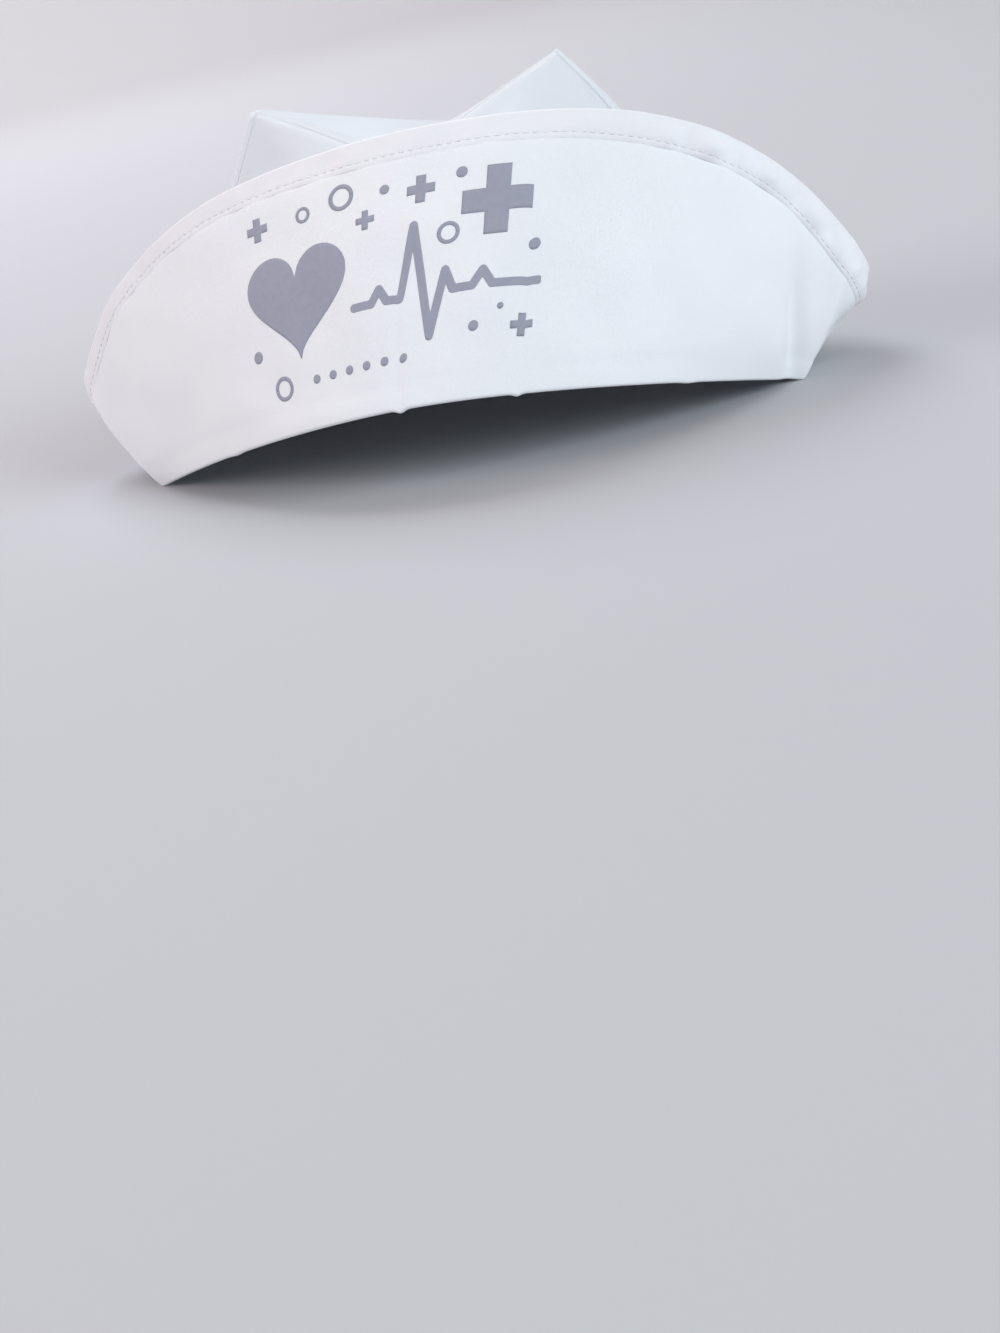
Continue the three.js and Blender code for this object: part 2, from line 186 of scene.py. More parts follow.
# Soft folds in the crown's back wall, with the same columns, but the depth is a share of the wall's swell
CROWN_BACK_DENTS = [
    (0.05, 0.0, 0.4, 0.98, 0.16, 0.3),
    (0.55, 0.0, 0.1, 0.9, 0.12, 0.25),
    (-0.6, 0.0, 0.15, 0.95, 0.12, 0.22),
]

# Small bumps where the lower fold was turned and pressed: where across, how wide and how far down (mm)
FOLD_BUMPS = [(-0.055, 0.014, 0.9), (0.262, 0.012, 0.7), (-0.62, 0.02, 0.35), (0.7, 0.02, 0.3)]

# Random swells: how deep (mm), how long their waves are (mm) and the seed of their directions
SWELLS = {
    "cuff_broad": (0.55, 70, 11),
    "cuff_small": (0.22, 26, 12),
    "pressed_line": (1, 60, 13),
    "pucker_crease": (1, 8, 21),
    "pucker_swell": (0.55, 11, 22),
    "crown_fold": (0.55, 24, 31),
    "crown_broad": (0.8, 55, 32),
}

# Rows round the cuff's section and up the hem
FOLD_ROWS = 11
OUTSIDE_ROWS = 49
INSIDE_ROWS = 26
HEM_ROWS = 24
HEM_CREST_ROWS = 13
HEM_INSIDE_ROWS = 12

# The band's lower lip: how far past its edge each row is, and its share of the rise
HEM_LIP = [[0.0, -0.5], [-0.15, 0.0], [-0.5, 0.5], [-0.9, 0.85]]
LIP_REACH = 1.2
STITCH_INSET = 2.0
STITCH_GROOVE = 0.12
STITCH_GROOVE_WIDTH = 0.5

# Faces along the front, the turn and the back of the cuff's ring and of the crown's
CUFF_RING = (180, 36, 100)
CROWN_RING = (84, 20, 84)
CROWN_LEVELS = 56
GIRTH_LEVEL = 20
TOP_CLOTH_SHIFT = 500


def between(value, start, end):
    """A soft rise and fall: 1 in the middle between two ends and 0 outside them."""
    share = np.clip((value - start) / (end - start), 0, 1)
    return np.sin(np.pi * share) ** 2


def step_up(value, start, end):
    """A soft step from 0 at the start to 1 at the end."""
    share = np.clip((value - start) / (end - start), 0, 1)
    return share * share * (3 - 2 * share)


def hump(value, middle, spread):
    """1 at the middle, and falling off softly to both sides"""
    return np.exp(-(((value - middle) / spread) ** 2))


def spacing(curve):
    """How far each point of a closed curve is from the next"""
    return np.linalg.norm(np.roll(curve, -1, 0) - curve, axis=1)


def running(steps):
    """The length up to each point, and up to the end of the last step"""
    return np.concatenate([[0], np.cumsum(steps)])


def dent_depth(dents, across, share, power=2):
    """How deep the listed dents are at a place, in the list's own unit. Power 1 gives sharp creases."""
    depth = np.zeros(np.broadcast(across, share).shape)
    for place, shift, start, end, spread, deepest in dents:
        sideways = np.abs(across - place - shift * share) / spread
        depth = depth + deepest * np.exp(-(sideways**power)) * between(share, start, end)
    return depth


def soft_noise(points, wavelength, seed, waves=28):
    """Smooth random swells of about that wavelength, with a spread of 1, the same on every run."""
    random = np.random.default_rng(seed)
    directions = random.normal(size=(waves, 3))
    directions /= np.linalg.norm(directions, axis=1)[:, None]
    lengths = wavelength * random.uniform(0.7, 1.5, waves)
    phases = random.uniform(0, 2 * np.pi, waves)
    total = np.zeros(points.shape[:-1])
    for direction, length, phase in zip(directions, lengths, phases):
        total += np.cos(points @ direction * (2 * np.pi / length) + phase)
    return total * math.sqrt(2 / waves)


def swell(name, points):
    depth, wavelength, seed = SWELLS[name]
    return depth * soft_noise(points, wavelength, seed)


def unit(vectors):
    return vectors / np.maximum(np.linalg.norm(vectors, axis=-1, keepdims=True), 1e-9)


def bend(start, pull, end, share):
    """A curve from one point to another that is pulled towards a third."""
    share = share[:, None]
    return start * (1 - share) ** 2 + pull * (2 * share * (1 - share)) + end * share**2


class Ring:
    """Places round the cap: from the front's middle to the right, round the back and to the left again"""

    def __init__(self, steps):
        front, turn, back = steps
        self.front, self.turn, self.half = front, turn, front + turn + back
        self.count = 2 * self.half
        index = np.arange(self.count)
        self.side = np.where(index <= self.half, 1, -1)
        step = np.where(self.side > 0, index, self.count - index)
        self.in_front = step <= front
        self.in_turn = (step > front) & (step < front + turn)
        self.in_back = step >= front + turn
        past_front = np.where(self.in_turn, (step - front) / turn, (self.half - step) / back)
        self.share = np.where(self.in_front, step / front, past_front)
        past_tip = np.where(self.in_turn, 1 + TURN_REACH * self.share, 2)
        self.across = np.where(self.in_front, self.side * self.share, self.side * past_tip)
        self.middle = np.where(self.in_turn, 0, 1 - self.share**2)

    def curve(self, front, turn, back):
        """Joins the three parts of an edge, each drawn for the right-hand side, into one closed curve."""
        points = np.where(self.in_front[:, None], front, np.where(self.in_turn[:, None], turn, back))
        points[:, 0] *= self.side
        return points


def soften(curve, reach):
    """Rounds the corners of a closed curve over about that many millimetres."""
    step = spacing(curve)
    along = running(step)[:-1]
    apart = np.abs(along[:, None] - along[None])
    apart = np.minimum(apart, step.sum() - apart)
    weight = np.exp(-0.5 * (apart / reach) ** 2) * (step + np.roll(step, 1))[None]
    return weight @ curve / weight.sum(1, keepdims=True)


def rim_curve(ring):
    """The cuff's lower fold"""
    s = ring.share
    place = -RIM_FRONT_DEPTH * (1 - s**RIM_FRONT_CURVE)
    arch = RIM_FRONT_ARCH * (1 - s**RIM_ARCH_CURVE)
    front = np.stack([RIM_HALF_WIDTH * s, place, arch], -1)
    front_corner = np.array([RIM_HALF_WIDTH, 0, 0])
    back_corner = np.array([RIM_HALF_WIDTH, RIM_CORNER_FOLD, 0])
    pull = np.array([RIM_HALF_WIDTH + RIM_CORNER_ROUND, RIM_CORNER_FOLD / 2, 0])
    turn = bend(front_corner, pull, back_corner, s)
    depth = RIM_BACK_DEPTH - RIM_CORNER_FOLD
    back = np.stack([RIM_HALF_WIDTH * s, RIM_CORNER_FOLD + depth * (1 - s**RIM_BACK_CURVE), 0 * s], -1)
    return ring.curve(front, turn, back)


def brim_front(s):
    """The cuff's upper edge in front, from its middle to the right tip"""
    across = s * TIP_FOLD_SHARE
    front_top = RIM_FRONT_ARCH + CUFF_FRONT_HEIGHT
    depth = RIM_FRONT_DEPTH - CUFF_FRONT_LEAN + CUFF_TIP_SWEEP
    rise = (1 - across**BRIM_RISE_CURVE) ** BRIM_RISE_ROUND
    place = CUFF_TIP_SWEEP - depth * (1 - across**BRIM_PLAN_CURVE)
    height = CUFF_TIP_HEIGHT + (front_top - CUFF_TIP_HEIGHT) * rise
    return np.stack([(RIM_HALF_WIDTH + CUFF_TIP_FLARE) * across, place, height], -1)


def brim_curve(ring):
    """The cuff's upper edge"""
    s = ring.share
    tip = brim_front(np.array([1.0]))[0]
    back_tip = np.array([tip[0], tip[1] + CUFF_TIP_FOLD, CUFF_TIP_HEIGHT])
    pull = np.array([tip[0] + CUFF_TIP_ROUND, tip[1] + CUFF_TIP_FOLD / 2, CUFF_TIP_HEIGHT])
    turn = bend(tip, pull, back_tip, s)
    turn[:, 2] = CUFF_TIP_HEIGHT + (tip[2] - CUFF_TIP_HEIGHT) * (1 - s) ** 2
    inward = 1 - s**BRIM_BACK_CURVE
    place = back_tip[1] + (RIM_BACK_DEPTH + CUFF_BACK_LEAN - back_tip[1]) * inward
    height = CUFF_TIP_HEIGHT + (CUFF_BACK_HEIGHT - CUFF_TIP_HEIGHT) * inward
    back = np.stack([back_tip[0] * s, place, height], -1)
    curve = ring.curve(brim_front(s), turn, back)
    curve[:, 0] += np.where(ring.in_front, CUFF_FRONT_SKEW * (1 - s**2), 0)
    left_lift = LEFT_BRIM_LIFT * step_up(s, 0.2, 0.7) * step_up(1 - s, 0, 0.2)
    curve[:, 2] += np.where(ring.in_front & (ring.side < 0), left_lift, 0)
    return curve


def ridge_curve(ring):
    """The crown's ridge round its open top"""
    s = ring.share
    front_peak = np.array([PEAK_HALF_SPACING, PEAK_SETBACK - PEAK_FOLD / 2, PEAK_HEIGHT])
    back_peak = np.array([PEAK_HALF_SPACING, PEAK_SETBACK + PEAK_FOLD / 2, PEAK_HEIGHT])
    pull = np.tile(np.array([PEAK_HALF_SPACING, PEAK_SETBACK, PEAK_HEIGHT], float), (ring.count, 1))
    pull[:, 0] += np.where(ring.side > 0, RIGHT_PEAK_ROUND, LEFT_PEAK_ROUND)
    dip = (1 - s**RIDGE_CURVE)[:, None]
    front_valley = np.array([0, VALLEY_FRONT_SETBACK - PEAK_FOLD / 2, PEAK_HEIGHT - VALLEY_FRONT_DROP])
    back_valley = np.array([0, VALLEY_BACK_SETBACK, PEAK_HEIGHT - VALLEY_BACK_DROP])
    front = front_peak + (front_valley - front_peak) * dip
    back = back_peak + (back_valley - back_peak) * dip
    front[:, 0] = front_peak[0] * s
    front[:, 2] += RIDGE_FRONT_BOW * np.sin(np.pi * s)
    back[:, 0] = back_peak[0] * s
    curve = ring.curve(front, bend(front_peak, pull, back_peak, s), back)
    curve[:, 0] += np.where(ring.in_back, VALLEY_BACK_OFFSET * (1 - s), 0)
    return curve


def ring_step(curve):
    """The direction along a closed curve at each point, longer where the points are further apart"""
    return (np.roll(curve, -1, 0) - np.roll(curve, 1, 0)) / 2


def ruled(low, high, share):
    """Places and outward normals of the straight wall between two closed curves"""
    weight = share[..., None]
    base = low[:, None] * (1 - weight) + high[:, None] * weight
    along = ring_step(low)[:, None] * (1 - weight) + ring_step(high)[:, None] * weight
    return base, unit(np.cross(along, (high - low)[:, None]))


class Cuff:
    """The middle of the cuff's wall at any height, with its belly, dents and soft swells."""

    def __init__(self, ring):
        self.ring = ring
        self.rim = soften(rim_curve(ring), RIM_SOFTNESS)
        for across, spread, drop in FOLD_BUMPS:
            self.rim[:, 2] -= drop * hump(ring.across, across, spread)
        self.brim = soften(brim_curve(ring), BRIM_SOFTNESS)
        self.height = np.linalg.norm(self.brim - self.rim, axis=1)

    def points(self, share, outward):
        """Points at the given shares of the height and offsets outward, both by column and row"""
        share = np.broadcast_to(share, (self.ring.count, np.shape(share)[-1]))
        base, normal = ruled(self.rim, self.brim, share)
        belly = CUFF_BELLY * np.sin(np.pi * np.clip(share, 0, 1))
        across = self.ring.across[:, None]
        dents = dent_depth(CUFF_DENTS, across, share) + dent_depth(CUFF_CREASES, across, share, 1)
        height = share * self.height[:, None]
        swells = swell("cuff_broad", base) + swell("cuff_small", base)
        swells = step_up(height, *CUFF_FREE_HEIGHTS) * swells
        pressed = PRESSED_DEPTH * hump(height, PRESSED_HEIGHT, PRESSED_WIDTH)
        pressed = pressed * step_up(swell("pressed_line", base), -0.8, 0.8)
        return base + normal * (belly - dents + swells - pressed + outward)[..., None]


def torus_mesh(name, points, steps):
    """A closed mesh from a grid of points whose columns and rows both close. Its cloth coordinates run
    along the ring, by the given steps, and round the section."""
    columns, rows = points.shape[:2]
    index = np.arange(columns * rows).reshape(columns, rows)
    next_column = np.roll(index, -1, 0)
    faces = np.stack([index, next_column, np.roll(next_column, -1, 1), np.roll(index, -1, 1)], -1)
    along = running(steps)
    up = running(np.linalg.norm(np.roll(points, -1, 1) - points, axis=-1).mean(0))
    u = np.stack([along[:-1], along[1:], along[1:], along[:-1]], -1)[:, None].repeat(rows, 1)
    v = np.stack([up[:-1], up[:-1], up[1:], up[1:]], -1)[None].repeat(columns, 0)
    cloth = np.stack([u, v], -1).reshape(-1, 2)
    return mesh_object(name, points.reshape(-1, 3), faces.reshape(-1, 4), cloth)


def placed(name, data):
    made = bpy.data.objects.new(name, data)
    bpy.context.scene.collection.objects.link(made)
    return made


def mesh_object(name, points, faces, cloth):
    """A smooth mesh object from millimetres. "cloth" has one pair for each corner of each face."""
    mesh = bpy.data.meshes.new(name)
    mesh.from_pydata((points + PLACE) * MM, [], faces if isinstance(faces, list) else faces.tolist())
    layer = mesh.uv_layers.new(name="cloth")
    layer.data.foreach_set("uv", (np.asarray(cloth) * MM).astype(np.float32).ravel())
    mesh.shade_smooth()
    mesh.update()
    return placed(name, mesh)


# The mount at the middle of the rim's back says where the fitted shape lies in the cap's own frame.
mount = next(m for m in frame["record"]["mounts"] if m["name"] == "rim_rest")
PLACE = np.array([mount["pos_m"][0] / MM, mount["pos_m"][1] / MM - RIM_BACK_DEPTH, 0])


# Cuff
cuff_ring = Ring(CUFF_RING)
cuff = Cuff(cuff_ring)


def hem_depths(ring):
    """How deep the hem band is at each column: deepest at the right tip and least deep at the left"""
    right = step_up(ring.across, *HEM_RIGHT_SPAN)
    left = step_up(-ring.across, *HEM_LEFT_SPAN)
    fade = np.where(ring.in_back, step_up(ring.share, 0.5, 1), 1)
    tip = HEM_TIP_DEPTH * fade * step_up(ring.across, *HEM_TIP_SPAN)
    sides = right * (HEM_DEPTH_RIGHT - HEM_DEPTH) + left * (HEM_DEPTH_LEFT - HEM_DEPTH)
    return HEM_DEPTH + tip + fade * sides


def hem_rises(ring):
    """How far the hem band stands proud of the cuff: more on the right, pressed flatter on the left"""
    past_crease = step_up(ring.across, 1.0, 1.05) * ~ring.in_back
    rise = HEM_RISE + HEM_RISE_RIGHT * step_up(ring.across, *HEM_RISE_SPAN)
    return rise * (1 - 0.5 * past_crease)


hem_depth = hem_depths(cuff_ring)[:, None]
hem_rise = hem_rises(cuff_ring)[:, None]


def cuff_section():
    """Rows round the lower fold, up the outside, over the thin edge in the hem and down the inside"""
    height = cuff.height[:, None]
    half = CUFF_WALL / 2
    fold = np.radians(np.linspace(-90, 90, FOLD_ROWS))[None]
    top = 1 - hem_depth / height
    up = np.linspace(0, 1, OUTSIDE_ROWS + 1)[None, 1:]
    outside = half / height + (top - half / height) * up
    dip = SEAM_DIP * step_up(outside * height, height * top - SEAM_DIP_REACH, height * top)
    edge = np.concatenate([top + CUFF_EDGE_STEP / height, np.ones_like(height)], 1)
    down = np.linspace(1, 0, INSIDE_ROWS)[None][:, 1:-1]
    inside = half / height + (top - half / height) * down
    share = np.concatenate([half * (1 - np.cos(fold)) / height, outside, edge, edge[:, ::-1], inside], 1)
    rounded = half * np.sin(fold) + 0 * height
    thin = CUFF_EDGE_WALL / 2 + 0 * edge
    out = [rounded, half - dip, thin, -thin, -half + 0 * inside]
    points = cuff.points(share, np.concatenate(out, 1))
    points[..., 2] = np.maximum(points[..., 2], 0)
    return points


cuff_points = cuff_section()
brim_step = spacing(cuff.brim)
cuff_cloth = torus_mesh("cuff_cloth", cuff_points, brim_step)


# Hem band
brim_length = running(brim_step)[:-1, None]


def hem_section():
    """Rows from the lower edge up the outside, over the crest, down the inside and back through the band"""
    height = cuff.height[:, None]
    ring = cuff_ring
    surface = CUFF_WALL / 2 - SEAM_DIP
    share_down = np.linspace(1, 0, HEM_ROWS)[None]
    lip = np.array(HEM_LIP)
    below = np.concatenate([hem_depth + lip[None, :, 0], (hem_depth - LIP_REACH) * share_down], 1)
    level = np.concatenate([lip[:, 1], np.ones(HEM_ROWS)])[None]
    groove = STITCH_GROOVE * hump(hem_depth - below, STITCH_INSET, STITCH_GROOVE_WIDTH)
    puckers = pucker_height(ring.across[:, None], brim_length, below)
    arc = np.sin(np.pi * np.clip(1 - below / hem_depth, 0, 1))
    puff = HEM_PUFF * step_up(ring.across, *HEM_PUFF_SPAN) * ~ring.in_back
    puff = puff[:, None] * arc**HEM_PUFF_CURVE
    outside = surface + (hem_rise + SEAM_DIP * 0.5) * level - groove + puckers + puff
    crest_out = outside[:, -1:]
    crest = np.radians(np.linspace(0, 180, HEM_CREST_ROWS))[None][:, 1:-1]
    over_below = -HEM_CREST * np.sin(crest) + 0 * height
    over_out = crest_out * np.cos(crest)
    inside_below = (hem_depth - HEM_INSIDE_END) * np.linspace(0, 1, HEM_INSIDE_ROWS)[None]
    inside_out = -crest_out + 0 * inside_below
    inner = CUFF_EDGE_WALL / 2 + HEM_CLEARANCE / 2
    foot = hem_depth - HEM_HOLLOW_END
    top = -HEM_HOLLOW_TOP + 0 * height
    close_below = np.concatenate([foot, top, top, foot], 1)
    close_out = np.array([[-inner, -inner, inner, inner]]) + 0 * close_below
    below = np.concatenate([below, over_below, inside_below, close_below], 1)
    out = np.concatenate([outside, over_out, inside_out, close_out], 1)
    return cuff.points(1 - below / height, out)


def pucker_height(across, along, below):
    """Small creases across the band where its edge was eased round the curve, stronger on the right"""
    on_right = step_up(across, *HEM_PUCKER_SPAN) * (across <= 1 + TURN_REACH)
    where = PUCKER_LEFT + (1 - PUCKER_LEFT) * on_right
    line = np.concatenate([along, 0 * along, 0 * along], 1)[:, None]
    slant = line + np.array([PUCKER_SLANT, 0, 0]) * below[..., None]
    crease = hump(swell("pucker_crease", slant), 0, PUCKER_CREASE_WIDTH)
    fade = hump(below, HEM_DEPTH * PUCKER_MIDDLE, HEM_DEPTH * PUCKER_SPREAD)
    return where * fade * (swell("pucker_swell", slant) - PUCKER_CREASE_DEPTH * crease)


hem_points = hem_section()
hem_cloth = torus_mesh("hem_cloth", hem_points, brim_step)


# Crown
def crown_surface():
    """The whole crown before it is parted into panels with a thickness"""
    ring = Ring(CROWN_RING)
    body = Cuff(ring)
    inward = np.array([[-CUFF_WALL / 2 - CROWN_CLEARANCE]])
    rim = body.points(CROWN_RIM_LIFT / body.height[:, None], inward)[:, 0]
    ridge = soften(ridge_curve(ring), RIDGE_SOFTNESS)
    share = np.linspace(0, 1, CROWN_LEVELS + 1)[None]
    base, normal = ruled(rim, ridge, share)
    middle = ring.middle[:, None]
    side_swell = np.where(ring.side > 0, RIGHT_SIDE_SWELL, LEFT_SIDE_SWELL)[:, None]
    bulge = side_swell * (1 - middle) * np.sin(np.pi * share**SIDE_SWELL_RISE)
    arc = np.sin(np.pi * share)
    front = CROWN_FRONT_SWELL * middle * arc
    dents = dent_depth(CROWN_BACK_DENTS, (ring.side * ring.share)[:, None], share)
    back = CROWN_BACK_SWELL * middle**CROWN_BACK_CURVE * (arc - dents)
    bulge = bulge + np.where(ring.in_front[:, None], front, 0) + np.where(ring.in_back[:, None], back, 0)
    wall = base + normal * bulge[..., None]

    levels = CROWN_LEVELS
    wall_index = np.arange(ring.count * (levels + 1)).reshape(ring.count, levels + 1)
    points = list(wall.reshape(-1, 3))
    ring_length = running(spacing(wall[:, GIRTH_LEVEL]))
    wall_height = np.linalg.norm(ridge - rim, axis=1).mean() * share[0]
    faces, in_front, cloth = [], [], []
    for column in range(ring.count):
        here, there = wall_index[column], wall_index[(column + 1) % ring.count]
        is_front = column < ring.front or column >= ring.count - ring.front
        u0, u1 = ring_length[column], ring_length[column + 1]
        for level in range(levels):
            faces.append((here[level], there[level], there[level + 1], here[level + 1]))
            v0, v1 = wall_height[level], wall_height[level + 1]
            cloth.append(((u0, v0), (u1, v0), (u1, v1), (u0, v1)))
            in_front.append(is_front)

    def ridge_index(column):
        return wall_index[column % ring.count, levels]

    rows = ring.turn  # the top's rows end at the turns of the ridge
    columns = []
    for step in range(-ring.front, ring.front + 1):
        front_index, back_index = ridge_index(step), ridge_index(ring.half - step)
        column = [front_index]
        start, end = points[front_index], points[back_index]
        for row in range(1, rows):
            part = row / rows
            sag = TOP_SAG * math.sin(math.pi * part) * (1 - (step / ring.front) ** 2)
            column.append(len(points))
            points.append(start + (end - start) * part - np.array([0, 0, sag]))
        column.append(back_index)
        columns.append(column)
    columns.insert(0, [ridge_index(-(ring.front + row)) for row in range(rows + 1)])
    columns.append([ridge_index(ring.front + row) for row in range(rows + 1)])
    for left, right in zip(columns, columns[1:]):
        for row in range(rows):
            corners = [left[row], right[row], right[row + 1], left[row + 1]]
            kept = [c for place, c in enumerate(corners) if c not in corners[:place]]
            if len(kept) > 2:
                faces.append(tuple(kept))
                cloth.append(tuple((points[c][0], points[c][1] + TOP_CLOTH_SHIFT) for c in kept))
                in_front.append(False)
    whole = SimpleNamespace(points=np.array(points), faces=faces, in_front=np.array(in_front), cloth=cloth)
    whole.fixed = np.concatenate([wall_index[:, 0], wall_index[:, levels]])
    whole.ridge = whole.points[wall_index[:, levels]]
    return whole


def edges_of(faces):
    pairs = {tuple(sorted(pair)) for face in faces for pair in zip(face, face[1:] + face[:1])}
    return np.array(sorted(pairs))


def relaxed(points, edges, fixed, rounds):
    """Rounds a surface by moving each point towards the middle of its neighbours."""
    free = np.ones(len(points), bool)
    free[fixed] = False
    count = np.zeros(len(points))
    np.add.at(count, edges[:, 0], 1)
    np.add.at(count, edges[:, 1], 1)
    for _ in range(rounds):
        total = np.zeros_like(points)
        np.add.at(total, edges[:, 0], points[edges[:, 1]])
        np.add.at(total, edges[:, 1], points[edges[:, 0]])
        middle = total / count[:, None]
        points = np.where(free[:, None], points * 0.5 + middle * 0.5, points)
    return points


def normals_of(points, faces):
    """Area-weighted normals of the points"""
    normals = np.zeros_like(points)
    corners = np.array([face if len(face) == 4 else face + face[-1:] for face in faces])
    across = points[corners[:, 2]] - points[corners[:, 0]]
    along = points[corners[:, 3]] - points[corners[:, 1]]
    face_normals = np.cross(across, along)
    for place in range(4):
        np.add.at(normals, corners[:, place], face_normals)
    return unit(normals)


def seam_points(surface):
    """The points that both panels share"""
    front = {c for face, mine in zip(surface.faces, surface.in_front) if mine for c in face}
    back = {c for face, mine in zip(surface.faces, surface.in_front) if not mine for c in face}
    return np.array(sorted(front & back))


def nearest_distance(points, targets, batch=64):
    nearest = np.full(len(points), np.inf)
    for start in range(0, len(targets), batch):
        apart = np.linalg.norm(points[:, None] - targets[None, start : start + batch], axis=-1)
        nearest = np.minimum(nearest, apart.min(1))
    return nearest


def panel_shell(name, surface, normals, mine, thickness):
    """One panel of a surface as a closed shell, drawn back a little from the seams that it shares."""
    chosen = [face for face, wanted in zip(surface.faces, mine) if wanted]
    chosen_cloth = [c for c, wanted in zip(surface.cloth, mine) if wanted]
    others = {c for face, wanted in zip(surface.faces, mine) if not wanted for c in face}
    used = sorted({c for face in chosen for c in face})
    place = {c: order for order, c in enumerate(used)}
    outside = surface.points[used].copy()
    pull = np.zeros_like(outside)
    for face in chosen:
        if any(c in others for c in face):
            centre = surface.points[list(face)].mean(0)
            for c in face:
                pull[place[c]] += unit(centre - surface.points[c])
    shared = np.array([c in others for c in used])
    outside[shared] += unit(pull[shared]) * SEAM_GAP / 2
    inside = outside - normals[used] * thickness
    count = len(used)
    faces, cloth, boundary = [], [], {}
    for face, corners in zip(chosen, chosen_cloth):
        renamed = [place[c] for c in face]
        faces.append(tuple(renamed))
        cloth.extend(corners)
        faces.append(tuple(c + count for c in reversed(renamed)))
        cloth.extend(tuple(reversed(corners)))
        for order, here in enumerate(renamed):
            following = renamed[(order + 1) % len(renamed)]
            if boundary.pop((following, here), None) is None:
                boundary[(here, following)] = (corners[order], corners[(order + 1) % len(renamed)])
    for (here, following), (cloth_here, cloth_next) in boundary.items():
        faces.append((following, here, here + count, following + count))
        cloth.extend((cloth_next, cloth_here, cloth_here, cloth_next))
    return mesh_object(name, np.concatenate([outside, inside]), faces, cloth)


crown = crown_surface()
crown.points = relaxed(crown.points, edges_of(crown.faces), crown.fixed, CROWN_ROUNDS)
to_seam = nearest_distance(crown.points, crown.points[seam_points(crown)])
crown_normals = normals_of(crown.points, crown.faces)
above_rim = step_up(crown.points[:, 2], *CROWN_FOLD_HEIGHTS)
stretched = crown.points * np.array([1, 1, CROWN_FOLD_STRETCH])
folds = swell("crown_fold", stretched) + swell("crown_broad", crown.points)
to_ridge = nearest_distance(crown.points, crown.ridge)
folds *= above_rim * step_up(to_seam, *FOLD_SEAM_SPAN) * step_up(to_ridge, *FOLD_RIDGE_SPAN)
groove = sum(depth * hump(to_seam, away, width) for depth, away, width in SEAM_SHAPES)
aside = np.abs(crown.points[:, 0])
groove *= 1 - SEAM_FADE * step_up(aside, *SIDE_SEAM_SPAN) * step_up(to_ridge, *SIDE_RIDGE_SPAN)
groove *= 1 - SEAM_FADE * step_up(aside, *PEAK_SPAN)
crown.points = crown.points + crown_normals * (folds + groove * above_rim)[:, None]
crown_normals = normals_of(crown.points, crown.faces)
crown_front_cloth = panel_shell("crown_front_cloth", crown, crown_normals, crown.in_front, CROWN_CLOTH)
crown_back_cloth = panel_shell("crown_back_cloth", crown, crown_normals, ~crown.in_front, CROWN_CLOTH)


# Places on the outside of the cuff, for the stitches and the print
class OuterFace:
    """The visible outside of the cuff or hem, read between its grid points."""

    def __init__(self, points):
        self.points = points
        self.normals = unit(np.cross(ring_step(points), np.gradient(points, axis=1)))

    def at(self, column, row):
        column = np.asarray(column, float)
        row = np.clip(np.asarray(row, float), 0, self.points.shape[1] - 1.001)
        c0 = np.floor(column).astype(int)
        r0 = np.floor(row).astype(int)
        fc = (column - c0)[..., None]
        fr = (row - r0)[..., None]
        count = len(self.points)

        def mixed(values):
            low = values[c0 % count, r0] * (1 - fc) + values[(c0 + 1) % count, r0] * fc
            high = values[c0 % count, r0 + 1] * (1 - fc) + values[(c0 + 1) % count, r0 + 1] * fc
            return low * (1 - fr) + high * fr

        return mixed(self.points), unit(mixed(self.normals))


# Running stitches along the hem's lower edge
STITCH_LENGTH = 2.3
STITCH_PITCH = 2.9
THREAD_RADIUS = 0.19
THREAD_END = 0.35  # share of the radius at a stitch's ends
STITCH_SHIFT = 0.1  # how uneven the stitches' places are
STITCH_VARIES = 0.15  # and their lengths
STITCH_SINK = 0.12
STITCH_ARCH = 0.2
STITCH_SEED = 41


